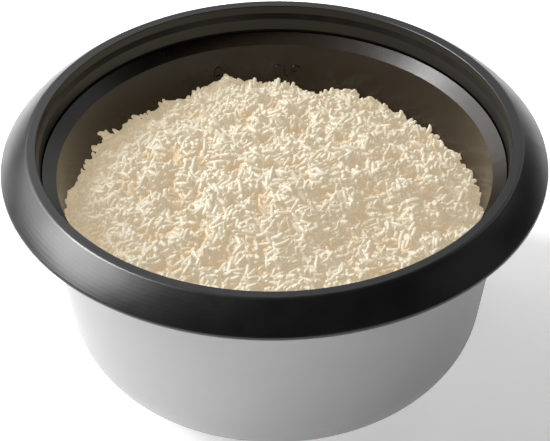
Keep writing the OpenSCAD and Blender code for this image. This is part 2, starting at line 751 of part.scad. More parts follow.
// ---------- safety parts under the plate ----------
module keep_warm_thermostat() color([0.2, 0.2, 0.2]) translate([therm_xy[0], therm_xy[1], 0]) {
    translate([0, 0, plate_under_z - 2]) cylinder(r = therm_r, h = 2);
    translate([0, 0, plate_under_z - 8]) cylinder(r = therm_r - 0.8, h = 6.1);
    for (x = [-1, 1]) translate([x * therm_r / 2 - 0.4, -2.4, plate_under_z - 14]) cube([0.8, 4.8, 6.5]);
}

module thermal_fuse() color([0.85, 0.82, 0.75])
    translate([fuse_xy[0] - fuse_l / 2, fuse_xy[1], fuse_z]) rotate([0, 90, 0]) {
        cylinder(r = fuse_r, h = fuse_l);
        translate([0, 0, -fuse_lead_l]) cylinder(r = fuse_lead_r, h = fuse_l + 2 * fuse_lead_l);
    }

module fuse_clip() color("silver") translate([fuse_xy[0], fuse_xy[1], 0]) {
    strap_t = 0.6;
    difference() {
        translate([-3, 0, 0]) rotate([90, 0, 90]) linear_extrude(6) difference() {
            union() {
                translate([0, fuse_z]) circle(fuse_r + 0.1 + strap_t);
                translate([-fuse_pitch - 3, plate_under_z - strap_t]) square([2 * fuse_pitch + 6, strap_t]);
            }
            translate([0, fuse_z]) circle(fuse_r + 0.1);
            translate([-20, plate_under_z]) square([40, 20]);
            translate([-fuse_r - 0.1, fuse_z]) square([2 * fuse_r + 0.2, 10]);
        }
        for (y = [-1, 1])
            translate([0, y * fuse_pitch, plate_under_z - 2]) cylinder(r = pilot_r + 0.1, h = 4);
    }
    for (y = [-1, 1]) translate([0, y * fuse_pitch, plate_under_z - strap_t])
        screw(screw_r, strap_t + 3, head_r - 0.6, 1.4);
}

module terminal_block() color([0.93, 0.92, 0.88])
    translate([block_xy[0], block_xy[1], base_top_z]) difference() {
        translate([-block_w / 2, -block_d / 2, 0]) cube([block_w, block_d, block_h]);
        for (x = block_pitch * [-1, 0, 1]) {
            translate([x, -block_d, block_h / 2]) along_y(2, 2 * block_d);
            translate([x, 0, block_h / 2]) cylinder(r = 2.2, h = block_h);
        }
    }

module earth_screw() color("gold") translate([earth_xy[0], earth_xy[1], base_top_z])
    mirror([0, 0, 1]) screw(screw_r, base_t + 1, head_r + 0.5, 2.4);

// ---------- control panel ----------
// Solid of the panel, shrunk by t on every side
module panel_block(t) {
    edge = 4 - t;
    face = panel_face_r - t;
    low = panel_z0 + t;
    high = panel_z1 - t;
    intersection() {
        rotate_extrude() polygon(concat([[0, low]], arc([face - edge, low + edge], edge, -90, 0, 5),
            arc([face - edge, high - edge], edge, 0, 90, 5), [[0, high]]));
        translate([0, face - 40, low - 1]) linear_extrude(high - low + 2)
            rounded_rect(panel_w - 2 * t, 2 * (40 + 5), 5 - t);
    }
}

module panel_screw_place(side) {
    rotate([0, 0, side * panel_screw_a])
        translate([0, shell_r(panel_screw_z - head_r) - shell_t - 0.2, panel_screw_z]) children();
}

module control_panel() color([0.16, 0.16, 0.16]) difference() {
    union() {
        difference() { panel_block(0); panel_block(panel_t); }
        intersection() {
            panel_block(1);
            union() {
                for (a = [-1, 1]) panel_screw_place(a) along_y(boss_r, 20);
                for (x = [-1, 1])
                    translate([x * (board_w / 2 - 3), board_y + board_t, lamp_z]) along_y(2, 20);
            }
        }
    }
    shell_space(seat_gap + eps);
    translate([-slot_w / 2, 0, slot_z0]) cube([slot_w, collar_r, slot_z1 - slot_z0]);
    for (x = [-1, 1]) translate([x * lamp_gap / 2, 0, lamp_z]) along_y(lamp_d / 2 + run_gap, collar_r);
    for (a = [-1, 1]) panel_screw_place(a) along_y(pilot_r, 4.5);
}

module panel_screws() color("silver")
    for (a = [-1, 1]) panel_screw_place(a) rotate([-90, 0, 0]) screw(screw_r, 4, head_r, 1.6);

module lens(side) {
    face_y = sqrt(pow(panel_face_r, 2) - pow(lamp_gap / 2, 2));
    translate([side * lamp_gap / 2, face_y - panel_t - 1, lamp_z]) rotate([-90, 0, 0]) rotate_extrude()
        polygon(concat([[0, 0]], [[lamp_d / 2, 0], [lamp_d / 2, panel_t + 0.9]],
            arc([lamp_d / 2 - 1, panel_t + 0.9], 1, 0, 90, 4), [[0, panel_t + 2.2]]));
}
module cook_lamp_lens() color([0.85, 0.12, 0.08]) lens(1);
module warm_lamp_lens() color([0.95, 0.6, 0.1]) lens(-1);

module lamp_board() color([0.1, 0.4, 0.2])
    translate([-board_w / 2, board_y, lamp_z - board_h / 2]) cube([board_w, board_t, board_h]);

module indicator_bulbs() color([0.95, 0.9, 0.8])
    for (x = [-1, 1]) translate([x * lamp_gap / 2, board_y + board_t, lamp_z]) {
        along_y(bulb_r, bulb_r);
        translate([0, bulb_r, 0]) sphere(r = bulb_r);
    }

// ---------- power inlet ----------
module at_inlet() { rotate([0, 0, inlet_a]) children(); }

module inlet_box(w, h, r, x0, x1) {
    translate([x0, 0, inlet_z]) rotate([90, 0, 90]) linear_extrude(x1 - x0) rounded_rect(w, h, r);
}

module power_inlet() color([0.13, 0.13, 0.13]) at_inlet() difference() {
    union() {
        difference() {
            inlet_box(inlet_w, inlet_h, 4, shell_floor_r, inlet_face_r);
            shell_space(seat_gap);
        }
        inlet_box(body_w, body_h, 3, inlet_face_r - body_l, inlet_face_r);
    }
    inlet_box(socket_w, socket_h, 2.5, inlet_face_r - socket_d, inlet_face_r + 1);
    for (p = pin_places) translate([0, p[0], inlet_z + p[1]])
        cube([2 * inlet_face_r, pin_t + 2 * run_gap, pin_w + 2 * run_gap], center = true);
    for (y = [-1, 1]) translate([inlet_face_r, y * inlet_screw_y, inlet_z]) rotate([0, -90, 0]) {
        translate([0, 0, -1]) cylinder(r = head_r + 0.2, h = 3.4);
        cylinder(r = hole_r, h = 60);
    }
}

module inlet_pins() color("gold") at_inlet() for (p = pin_places)
    translate([inlet_face_r - body_l - pin_tail, p[0] - pin_t / 2, inlet_z + p[1] - pin_w / 2])
        cube([pin_tail + inlet_t + pin_l, pin_t, pin_w]);

module inlet_screws() color("silver") at_inlet() for (y = [-1, 1])
    translate([inlet_face_r - 2.4, y * inlet_screw_y, inlet_z]) rotate([0, -90, 0])
        screw(screw_r, inlet_face_r - shell_r(inlet_z) + 4, head_r, 2);

// ---------- inner wiring ----------
function inlet_point(i, back) =
    let (x = inlet_face_r - body_l - pin_tail - back, y = pin_places[i][0])
    [x * cos(inlet_a) - y * sin(inlet_a), x * sin(inlet_a) + y * cos(inlet_a), inlet_z + pin_places[i][1]];
function element_point(side) =
    [element_ring_r * cos(element_a), side * element_ring_r * sin(element_a), terminal_top_z - 10.2];
function tab_point(side) = [case_x + side * tab_x, case_y + case_l + tab_l + wire_r + 0.1, case_z + 2.9];

// A point beside the support post nearest the inlet, turned by a and out by dr
function post_point(a, dr, z) =
    [(post_pcr + dr) * cos(post_first_a + a), (post_pcr + dr) * sin(post_first_a + a), z];

module live_wire() color([0.5, 0.3, 0.15])
    tube(curve([inlet_point(2, 1.3), inlet_point(2, 5), post_point(12, 11.3, 18), [43, 67, 15], [29, 79, 14],
        tab_point(1) + [4, 1.5, 0], tab_point(1)]), wire_r);

module neutral_wire() color([0.2, 0.35, 0.7])
    tube(curve([inlet_point(0, 1.3), inlet_point(0, 5), [73, 27, 18], [67, 13, 15], [60, -4, 13],
        [51, -20, 13], element_point(-1) + [3, -3, -1], element_point(-1)]), wire_r);

module earth_wire() color([0.45, 0.65, 0.2])
    tube(curve([inlet_point(1, 1.3), inlet_point(1, 5), post_point(5, 12.4, 21),
        post_point(8, 0.4, 15), [43, 33, 12.5], [38.5, 29.5, 11]]), wire_r);

module element_wire() color([0.8, 0.2, 0.15])
    tube(curve([tab_point(-1), tab_point(-1) + [0, 3, 2], [20, 86, 19], [31, 73, 20], [38, 53, 18.5],
        [43, 35, 17], element_point(1) + [0.5, 4, 0.3], element_point(1)]), wire_r);

module lamp_wires() color([0.85, 0.8, 0.5]) for (k = [0, 1])
    tube(curve([[15 + 4 * k, board_y - 0.9, lamp_z - 3], [16 + 4 * k, board_y - 4, 36],
        [20 + 4 * k, board_y - 12, 28], [24 + 4 * k, board_y - 24, 24.5], [31 + 4 * k, 60, 24],
        [30 + 4 * k, 30, 23.5], [30 + 4 * k, 0, 22], [32 + 6 * k, -20, 18],
        [34 + 9 * k, block_xy[1] + block_d / 2 + 0.9, 15.5]]), lamp_wire_r);

// ---------- pot ----------
module inner_pot() color([0.3, 0.28, 0.25]) rotate_extrude()
    polygon(concat([[0, plate_z + pot_t]], reversed(pot_line(0)), [[rim_r, rim_z], [rim_r, rim_z - rim_tv],
        [pot_out_r, rim_under_z]], [for (i = [1 : arc_n + 1]) pot_line(-pot_t)[i]], [[0, plate_z]]));

outer_shell();
collar();
collar_screws();
heat_shield();
base_plate();
base_screws();
feet();
support_posts();
post_screws();
heating_plate();
heating_element();
element_terminals();
plate_spacers();
plate_screws();
sensor_guide();
guide_screws();
sensor_spring();
sensor_cap();
ferrite_disc();
magnet_spring();
magnet();
magnet_rod();
switch_lever();
lever_knob();
lever_pin();
switch_bracket();
bracket_screws();
micro_switch();
switch_button();
switch_terminals();
keep_warm_thermostat();
thermal_fuse();
fuse_clip();
terminal_block();
earth_screw();
control_panel();
panel_screws();
cook_lamp_lens();
warm_lamp_lens();
lamp_board();
indicator_bulbs();
power_inlet();
inlet_pins();
inlet_screws();
live_wire();
neutral_wire();
earth_wire();
element_wire();
lamp_wires();
inner_pot();
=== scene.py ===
import json
import math

import bpy
import numpy as np
from mathutils import Matrix, Vector


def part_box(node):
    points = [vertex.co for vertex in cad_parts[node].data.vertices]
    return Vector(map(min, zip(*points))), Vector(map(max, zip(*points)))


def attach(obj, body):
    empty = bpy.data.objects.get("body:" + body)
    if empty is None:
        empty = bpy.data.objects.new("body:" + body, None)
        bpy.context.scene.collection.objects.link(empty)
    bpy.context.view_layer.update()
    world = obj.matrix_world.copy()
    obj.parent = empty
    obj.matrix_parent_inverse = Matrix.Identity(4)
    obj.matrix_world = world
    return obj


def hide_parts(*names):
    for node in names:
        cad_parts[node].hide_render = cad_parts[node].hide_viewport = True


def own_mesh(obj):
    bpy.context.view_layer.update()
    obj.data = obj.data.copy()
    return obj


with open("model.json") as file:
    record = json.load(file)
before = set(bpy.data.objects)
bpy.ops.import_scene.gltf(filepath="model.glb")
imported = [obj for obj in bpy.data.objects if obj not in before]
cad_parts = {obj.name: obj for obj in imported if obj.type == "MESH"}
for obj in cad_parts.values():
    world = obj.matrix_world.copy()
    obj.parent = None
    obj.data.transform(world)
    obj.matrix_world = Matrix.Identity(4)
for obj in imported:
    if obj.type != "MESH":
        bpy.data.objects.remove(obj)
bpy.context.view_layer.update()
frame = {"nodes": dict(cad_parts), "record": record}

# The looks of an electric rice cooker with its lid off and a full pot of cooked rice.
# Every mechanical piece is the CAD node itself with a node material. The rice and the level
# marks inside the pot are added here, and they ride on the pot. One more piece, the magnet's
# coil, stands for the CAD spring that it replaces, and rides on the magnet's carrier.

MM = 0.001

pot_low, pot_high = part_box("inner_pot")
TOP_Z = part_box("collar")[1].z

# The pot's inner surface, from its rim inwards and down
RIM_W = 7.4 * MM
RIM_FALL = 4.1 * MM
POT_TAPER = math.radians(3.75)
POT_T = 1.5 * MM  # sheet thickness
POT_ROUND = 34 * MM  # corner between wall and floor
mouth_r = pot_high.x - RIM_W
mouth_z = pot_high.z - RIM_FALL
floor_z = pot_low.z + POT_T


def wall_r(z):
    """Inner radius of the pot's wall at height z, above its rounded corner."""
    return mouth_r - (mouth_z - z) * math.tan(POT_TAPER)


# ---------------------------------------------------------------- meshes

TUBE_SIDES = 8
TUBE_END = 0.8  # radius of a tube's first and last ring against the others


def mesh_piece(name, points, faces, smooth=True):
    """A mesh object from an array of points and an array of triangles or quads."""
    points = np.asarray(points, np.float32)
    faces = np.asarray(faces, np.int32)
    corners = faces.shape[1]
    mesh = bpy.data.meshes.new(name)
    mesh.vertices.add(len(points))
    mesh.vertices.foreach_set("co", points.ravel())
    mesh.loops.add(faces.size)
    mesh.loops.foreach_set("vertex_index", faces.ravel())
    mesh.polygons.add(len(faces))
    mesh.polygons.foreach_set("loop_start", np.arange(len(faces), dtype=np.int32) * corners)
    mesh.polygons.foreach_set("use_smooth", np.full(len(faces), smooth))
    mesh.update(calc_edges=True)
    mesh.validate()
    piece = bpy.data.objects.new(name, mesh)
    bpy.context.scene.collection.objects.link(piece)
    return piece


def joined(parts):
    """Points and triangles of several (points, triangles) pairs as one pair."""
    points, faces, start = [], [], 0
    for part_points, part_faces in parts:
        points.append(part_points)
        faces.append(np.asarray(part_faces) + start)
        start += len(part_points)
    return np.concatenate(points), np.concatenate(faces)


def ring_faces(rows, sides):
    """Triangles of a closed skin: a pole, rows of `sides` points, and a second pole."""
    faces = []
    for k in range(sides):
        n = (k + 1) % sides
        faces.append((0, 1 + n, 1 + k))
        for row in range(rows - 1):
            a = 1 + row * sides
            b = a + sides
            faces += [(a + k, a + n, b + n), (a + k, b + n, b + k)]
        last = 1 + (rows - 1) * sides
        faces.append((last + k, last + n, 1 + rows * sides))
    return np.array(faces)


def tube(path, radius):
    """Points and triangles of a tube with rounded ends along a list of points."""
    path = [Vector(p) for p in path]
    points = [path[0] + (path[0] - path[1]).normalized() * radius]
    side = None
    for i, here in enumerate(path):
        ahead = (path[min(i + 1, len(path) - 1)] - path[max(i - 1, 0)]).normalized()
        if side is None:
            side = ahead.orthogonal()
        side = (side - ahead * side.dot(ahead)).normalized()
        across = ahead.cross(side)
        end = i in (0, len(path) - 1)
        r = radius * (TUBE_END if end else 1)
        for k in range(TUBE_SIDES):
            a = 2 * math.pi * k / TUBE_SIDES
            points.append(here + (side * math.cos(a) + across * math.sin(a)) * r)
    points.append(path[-1] + (path[-1] - path[-2]).normalized() * radius)
    return np.array([tuple(p) for p in points]), ring_faces(len(path), TUBE_SIDES)


# ---------------------------------------------------------------- rice

# The heap: its height at the wall and at its top, and how far its middle lies off the pot's axis
HEAP_EDGE_Z = 89 * MM
HEAP_TOP_Z = 120.5 * MM
HEAP_POWER = 2.7  # 2 is a round dome, more a flatter one
HEAP_SHIFT = (-4 * MM, 7 * MM)
WALL_GAP = 0.3 * MM
HOLLOW_COUNT = 95
HOLLOW_WIDTH = (3.5, 7.5)  # mm
HOLLOW_DEPTH = (2.0, 5.5)  # mm

# A grain: its mean size, and the ranges of its random shape
GRAIN_L = 9.0 * MM
GRAIN_W = 3.1 * MM
GRAIN_SIDES = 6
GRAIN_ROWS = 6
GRAIN_KINDS = 12  # in each layer
LENGTH_RANGE = (0.78, 1.12)
WIDTH_RANGE = (0.86, 1.12)
FLAT_RANGE = (0.74, 0.92)  # thickness against width
BEND_MAX = 0.9  # mm
TAPER_MAX = 0.16
LUMP_MAX = 0.07
BLUNTNESS = 0.46  # 1 is a round end, less a blunter one

# The layers of grains: how far each lies above the heap's surface, and its spread of tilt in degrees
LAYERS = ((0.4 * MM, 21), (-1.3 * MM, 17), (-3.2 * MM, 14))
LAYER_STEP = 3.5 * MM
LAYER_INSET = 0.6 * MM
HEIGHT_SPREAD = 0.45 * MM
SLOPE_STEP = 2 * MM
LOOSE_COUNT = 560
LOOSE_REACH = 0.97  # share of the heap's area, from its middle outwards
LOOSE_LIFT = (1.0, 2.6)  # mm
LOOSE_TILT = (15, 65)  # degrees

# The closed bed under the grains
BED_SIDES = 96
BED_ROWS = 26
BED_CORNER_STEPS = 8
BED_DEPTH = 3.4 * MM
BED_INSET = 0.5 * MM

# The painted shade on the rice: a warmer tan deep between the grains, set by each point's depth
PAINTED_SHADE = "rice_painted_shade"
PAINTED_SHADE_START = 1.5 * MM  # above the heap's smooth surface, where the painted shade begins
PAINTED_SHADE_DEPTH = 5.5 * MM
RICE_PARTS = 6
SEED = 41

random = np.random.default_rng(SEED)
edge_r = wall_r(HEAP_EDGE_Z) - WALL_GAP


def ripples(count, wave, height):
    """A smooth random height field: a sum of `count` cosines about `wave` long."""
    angles = random.uniform(0, 2 * math.pi, count)
    lengths = wave * random.uniform(0.7, 1.4, count)
    phases = random.uniform(0, 2 * math.pi, count)
    size = height * math.sqrt(2 / count)

    def field(x, y):
        total = np.zeros_like(x)
        for angle, length, phase in zip(angles, lengths, phases):
            along = x * math.cos(angle) + y * math.sin(angle)
            total += np.cos(2 * math.pi * along / length + phase)
        return total * size

    return field


slow_lumps = ripples(count=9, wave=70 * MM, height=2.0 * MM)
clumps = ripples(count=14, wave=22 * MM, height=1.5 * MM)
pits = ripples(count=18, wave=11 * MM, height=0.9 * MM)


def hollows(count):
    """A height field of small scooped hollows between clumps of rice."""
    r = edge_r * np.sqrt(random.uniform(0, 1, count))
    a = random.uniform(0, 2 * np.pi, count)
    across, along = r * np.cos(a), r * np.sin(a)
    width = random.uniform(*HOLLOW_WIDTH, count) * MM
    deep = random.uniform(*HOLLOW_DEPTH, count) * MM

    def field(x, y):
        x, y = np.atleast_1d(x), np.atleast_1d(y)
        near = (x[:, None] - across) ** 2 + (y[:, None] - along) ** 2
        return -np.max(deep * np.exp(-near / (2 * width ** 2)), axis=1)

    return field


scoops = hollows(HOLLOW_COUNT)


def heap_z(x, y):
    """Height of the heaped rice's surface."""
    x, y = np.asarray(x, float), np.asarray(y, float)
    r = np.hypot(x - HEAP_SHIFT[0], y - HEAP_SHIFT[1]) / (edge_r + math.hypot(*HEAP_SHIFT))
    dome = (HEAP_TOP_Z - HEAP_EDGE_Z) * (1 - np.clip(r, 0, 1) ** HEAP_POWER)
    return HEAP_EDGE_Z + dome + slow_lumps(x, y) + clumps(x, y) + pits(x, y) + scoops(x, y)


def grain_shape():
    """Points of one cooked grain along X: blunt ends, a slight bend and taper, flatter one way."""
    length = GRAIN_L * random.uniform(*LENGTH_RANGE)
    width = GRAIN_W * random.uniform(*WIDTH_RANGE)
    bend = random.uniform(-BEND_MAX, BEND_MAX) * MM
    taper = random.uniform(-TAPER_MAX, TAPER_MAX)
    flat = random.uniform(*FLAT_RANGE)
    theta = np.pi * np.arange(1, GRAIN_ROWS + 1) / (GRAIN_ROWS + 1)
    along = -np.cos(theta)
    radius = np.sin(theta) ** BLUNTNESS * (1 + taper * along) * width / 2
    around = 2 * np.pi * np.arange(GRAIN_SIDES) / GRAIN_SIDES
    lump = 1 + random.uniform(-LUMP_MAX, LUMP_MAX, (GRAIN_ROWS, GRAIN_SIDES))
    x = np.repeat(along * length / 2, GRAIN_SIDES)
    y = (radius[:, None] * np.cos(around) * lump).ravel()
    z = (radius[:, None] * np.sin(around) * lump * flat).ravel()
    points = np.stack([x, y, z], 1)
    poles = np.array([[-length / 2, 0, 0], [length / 2, 0, 0]])
    points = np.concatenate([poles[:1], points, poles[1:]])
    points[:, 1] += bend * (points[:, 0] / (length / 2)) ** 2
    return points


def grains(x, y, z, tilt):
    """Points of grains centred at x, y, z, tilted out of the heap's surface."""
    slope_x = (heap_z(x + SLOPE_STEP, y) - heap_z(x - SLOPE_STEP, y)) / (2 * SLOPE_STEP)
    slope_y = (heap_z(x, y + SLOPE_STEP) - heap_z(x, y - SLOPE_STEP)) / (2 * SLOPE_STEP)
    normal = np.stack([-slope_x, -slope_y, np.ones_like(x)], 1)
    normal /= np.linalg.norm(normal, axis=1, keepdims=True)
    heading = random.uniform(0, 2 * np.pi, len(x))
    flat = np.stack([np.cos(heading), np.sin(heading), np.zeros_like(x)], 1)
    flat -= normal * np.sum(flat * normal, 1, keepdims=True)
    flat /= np.linalg.norm(flat, axis=1, keepdims=True)
    pitch = tilt[:, None]
    long_axis = flat * np.cos(pitch) + normal * np.sin(pitch)
    roll = random.uniform(0, 2 * np.pi, len(x))[:, None]
    across = np.cross(normal, flat)
    up = np.cross(long_axis, across)
    side = across * np.cos(roll) + up * np.sin(roll)
    third = np.cross(long_axis, side)
    axes = np.stack([long_axis, side, third], 1)
    shapes = np.stack([grain_shape() for _ in range(GRAIN_KINDS)])
    own = shapes[random.integers(0, GRAIN_KINDS, len(x))]
    return np.einsum("gpk,gkc->gpc", own, axes) + np.stack([x, y, z], 1)[:, None, :]


def inside_pot(points):
    """The same points, with any that reach the pot's wall pressed back onto it."""
    r = np.hypot(points[..., 0], points[..., 1])
    limit = wall_r(points[..., 2]) - WALL_GAP
    scale = np.where(r > limit, limit / np.maximum(r, 1e-9), 1)
    points[..., 0] *= scale
    points[..., 1] *= scale
    return points


def layer(offset, tilt_spread):
    """Grains with their centres on a shaken grid over the heap, `offset` above its surface."""
    ticks = np.arange(-edge_r, edge_r, LAYER_STEP)
    x, y = (a.ravel() for a in np.meshgrid(ticks, ticks))
    x = x + random.uniform(-0.5, 0.5, len(x)) * LAYER_STEP
    y = y + random.uniform(-0.5, 0.5, len(y)) * LAYER_STEP
    keep = np.hypot(x, y) < edge_r - LAYER_INSET
    x, y = x[keep], y[keep]
    z = heap_z(x, y) + offset + random.normal(0, HEIGHT_SPREAD, len(x))
    tilt = np.radians(random.normal(0, tilt_spread, len(x)))
    return grains(x, y, z, tilt)


def loose_grains(count):
    """Grains that stand up or lie loose on the heap."""
    r = edge_r * np.sqrt(random.uniform(0, LOOSE_REACH, count))
    a = random.uniform(0, 2 * np.pi, count)
    x, y = r * np.cos(a), r * np.sin(a)
    z = heap_z(x, y) + random.uniform(*LOOSE_LIFT, count) * MM
    tilt = np.radians(random.uniform(*LOOSE_TILT, count))
    return grains(x, y, z, tilt)


def rice_bed():
    """The closed body of rice under the grains, from the pot's floor to just below the surface."""
    angles = 2 * np.pi * np.arange(BED_SIDES) / BED_SIDES
    points = [(0, 0, floor_z + WALL_GAP)]
    arc_r = wall_r(floor_z + POT_ROUND) - POT_ROUND / math.cos(POT_TAPER)
    for k in range(BED_CORNER_STEPS + 1):
        a = math.pi / 2 * k / BED_CORNER_STEPS
        r = arc_r + (POT_ROUND - WALL_GAP) * math.sin(a)
        z = floor_z + POT_ROUND - (POT_ROUND - WALL_GAP) * math.cos(a)
        points += [(r * math.cos(b), r * math.sin(b), z) for b in angles]
    for k in range(BED_ROWS):
        r = (edge_r - BED_INSET) * (1 - k / BED_ROWS)
        x, y = r * np.cos(angles), r * np.sin(angles)
        points += list(zip(x, y, heap_z(x, y) - BED_DEPTH))
    points.append((0, 0, heap_z(0.0, 0.0).item() - BED_DEPTH))
    rows = BED_CORNER_STEPS + 1 + BED_ROWS
    return mesh_piece("rice_bed", points, ring_faces(rows, BED_SIDES)[:, ::-1])


def paint_shade_by_depth(piece):
    """Stores how deep each point lies under the heap's smooth surface, 0 on top to 1 in a pit, as the
    amount of painted shade.
    """
    points = np.zeros(len(piece.data.vertices) * 3, np.float32)
    piece.data.vertices.foreach_get("co", points)
    x, y, z = points.reshape(-1, 3).T
    smooth = heap_z(x, y) - clumps(x, y) - pits(x, y) - scoops(x, y)
    tone = np.clip((smooth + PAINTED_SHADE_START - z) / PAINTED_SHADE_DEPTH, 0, 1)
    attribute = piece.data.attributes.new(PAINTED_SHADE, "FLOAT", "POINT")
    attribute.data.foreach_set("value", tone.astype(np.float32))


def make_rice():
    """The cooked rice: a bed and several thousand grains, in sectors of the pot."""
    sets = [layer(offset, tilt_spread) for offset, tilt_spread in LAYERS]
    sets.append(loose_grains(LOOSE_COUNT))
    all_grains = inside_pot(np.concatenate(sets))
    centres = all_grains.mean(1)
    turn = np.arctan2(centres[:, 1], centres[:, 0]) + math.pi
    sector = np.minimum((turn / (2 * math.pi) * RICE_PARTS).astype(int), RICE_PARTS - 1)
    skin = ring_faces(GRAIN_ROWS, GRAIN_SIDES)
    pieces = [rice_bed()]
    for part in range(RICE_PARTS):
        mine = all_grains[sector == part]
        starts = np.arange(len(mine)) * mine.shape[1]
        faces = (skin[None] + starts[:, None, None]).reshape(-1, 3)
        pieces.append(mesh_piece(f"rice_grains_{part + 1}", mine.reshape(-1, 3), faces))
    for piece in pieces:
        paint_shade_by_depth(piece)
    return pieces


# ---------------------------------------------------------------- level marks in the pot

MARK_Z = 109 * MM
MARK_RAISE = 0.55 * MM  # radius of a stroke, a third of which is sunk in the wall
SIX_TURN = math.radians(90 + 16)
CUP_TURN = math.radians(90 - 4)

# Sizes of the strokes in millimetres, with y = 0 at mid height
SIX_W = 4.4
LETTER_W = 4.2
LETTER_GAP = 1.5
LETTER_TOP = 4.1


def arc(cx, cy, rx, ry, start, end, count=9):
    """Points of an arc in the plane of a mark, angles in degrees."""
    turns = np.radians(np.linspace(start, end, count))
    return [(cx + rx * math.cos(t), cy + ry * math.sin(t)) for t in turns]


def on_wall(stroke, turn, width):
    """A flat stroke in millimetres laid on the pot's inner wall, seen from inside."""
    points = []
    for x, y in stroke:
        z = MARK_Z + y * MM
        r = wall_r(z) - MARK_RAISE / 3
        a = turn - (x - width / 2) * MM / r
        points.append((r * math.cos(a), r * math.sin(a), z))
    return points


def make_marks():
    """The raised level number and the word for the measure, as thin rounded strokes."""
    top = LETTER_TOP
    six = [(3.9, 3.9)] + arc(2.2, 1.2, 2.2, 4.6, 60, 180) + arc(2.2, -1.9, 2.2, 2.2, 180, 520, 20)
    c = arc(2.3, 0, 2.3, top, 50, 310, 15)
    u = [(0, top), (0, -1.4)] + arc(2.1, -1.4, 2.1, 2.2, 180, 360) + [(LETTER_W, top)]
    p = [(0, -top), (0, top), (2.0, top)] + arc(2.0, 1.7, 2.1, 1.9, 90, -90) + [(0, -0.2)]
    width = 3 * LETTER_W + 2 * LETTER_GAP
    tubes = [tube(on_wall(six, SIX_TURN, SIX_W), MARK_RAISE)]
    for k, letter in enumerate((c, u, p)):
        placed = [(x + k * (LETTER_W + LETTER_GAP), y) for x, y in letter]
        tubes.append(tube(on_wall(placed, CUP_TURN, width), MARK_RAISE))
    points, faces = joined(tubes)
    return mesh_piece("level_marks", points, faces)


# ---------------------------------------------------------------- the magnet's spring

SPRING_WIRE_R = 0.5 * MM
SPRING_TURNS = 5
SPRING_STEPS = 32  # points in a turn


def make_magnet_spring():
    """The coil under the ferrite disc, which rides on the magnet's carrier."""
    low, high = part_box("magnet_spring")
    mean_r = high.x - SPRING_WIRE_R
    count = SPRING_TURNS * SPRING_STEPS
    rise = high.z - low.z - 2 * SPRING_WIRE_R
    path = []
    for i in range(count + 1):
        a = 2 * math.pi * i / SPRING_STEPS
        z = low.z + SPRING_WIRE_R + rise * i / count
        path.append((mean_r * math.cos(a), mean_r * math.sin(a), z))
    spring = mesh_piece("magnet_coil", *tube(path, SPRING_WIRE_R))
    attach(spring, "magnet_carrier")
    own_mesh(spring)
    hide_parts("magnet_spring")
    return spring


# ---------------------------------------------------------------- materials

COAT_ROUGH = 0.2
RING_WOBBLE = 0.6
RING_DETAIL = 1.5


def fresh(name):
    """A new node material with its Principled shader."""
    material = bpy.data.materials.new(name)
    material.use_nodes = True
    tree = material.node_tree
    return material, tree, tree.nodes["Principled BSDF"]


def noise(tree, size, detail=3.0, stretch=(1, 1, 1)):
    """A noise pattern in the object's own space, with features about `size` metres."""
    coords = tree.nodes.new("ShaderNodeTexCoord")
    mapping = tree.nodes.new("ShaderNodeMapping")
    mapping.inputs["Scale"].default_value = stretch
    pattern = tree.nodes.new("ShaderNodeTexNoise")
    pattern.inputs["Scale"].default_value = 1 / size
    pattern.inputs["Detail"].default_value = detail
    tree.links.new(coords.outputs["Object"], mapping.inputs["Vector"])
    tree.links.new(mapping.outputs["Vector"], pattern.inputs["Vector"])
    return pattern.outputs["Fac"]


def rings(tree, size):
    """Fine turned rings around the cooker's axis."""
    coords = tree.nodes.new("ShaderNodeTexCoord")
    wave = tree.nodes.new("ShaderNodeTexWave")
    wave.wave_type = "RINGS"
    wave.rings_direction = "Z"
    wave.inputs["Scale"].default_value = 1 / size
    wave.inputs["Distortion"].default_value = RING_WOBBLE
    wave.inputs["Detail"].default_value = RING_DETAIL
    tree.links.new(coords.outputs["Object"], wave.inputs["Vector"])
    return wave.outputs["Fac"]


def spread(tree, factor, low, high, start=0.3, end=0.7):
    """Numbers from low to high as a pattern goes from start to end."""
    ramp = tree.nodes.new("ShaderNodeMapRange")
    for socket, value in zip(("From Min", "From Max", "To Min", "To Max"), (start, end, low, high)):
        ramp.inputs[socket].default_value = value
    tree.links.new(factor, ramp.inputs["Value"])
    return ramp.outputs["Result"]


def colours(tree, factor, low, high, start=0.3, end=0.7):
    """Colours from low to high as a pattern goes from start to end."""
    ramp = tree.nodes.new("ShaderNodeValToRGB")
    for stop, place, colour in zip(ramp.color_ramp.elements, (start, end), (low, high)):
        stop.position = place
        stop.color = (*colour, 1)
    tree.links.new(factor, ramp.inputs["Fac"])
    return ramp.outputs["Color"]


def blend(tree, factor, first, second):
    """A colour output turning into another one, or into a plain colour, as the factor rises."""
    mix = tree.nodes.new("ShaderNodeMix")
    mix.data_type = "RGBA"
    tree.links.new(factor, mix.inputs["Factor"])
    tree.links.new(first, mix.inputs["A"])
    if isinstance(second, tuple):
        mix.inputs["B"].default_value = (*second, 1)
    else:
        tree.links.new(second, mix.inputs["B"])
    return mix.outputs["Result"]


def bumps(tree, factor, depth, normal=None):
    """A bump of `depth` metres from a pattern."""
    bump = tree.nodes.new("ShaderNodeBump")
    bump.inputs["Strength"].default_value = 1.0
    bump.inputs["Distance"].default_value = depth
    tree.links.new(factor, bump.inputs["Height"])
    if normal is not None:
        tree.links.new(normal, bump.inputs["Normal"])
    return bump.outputs["Normal"]


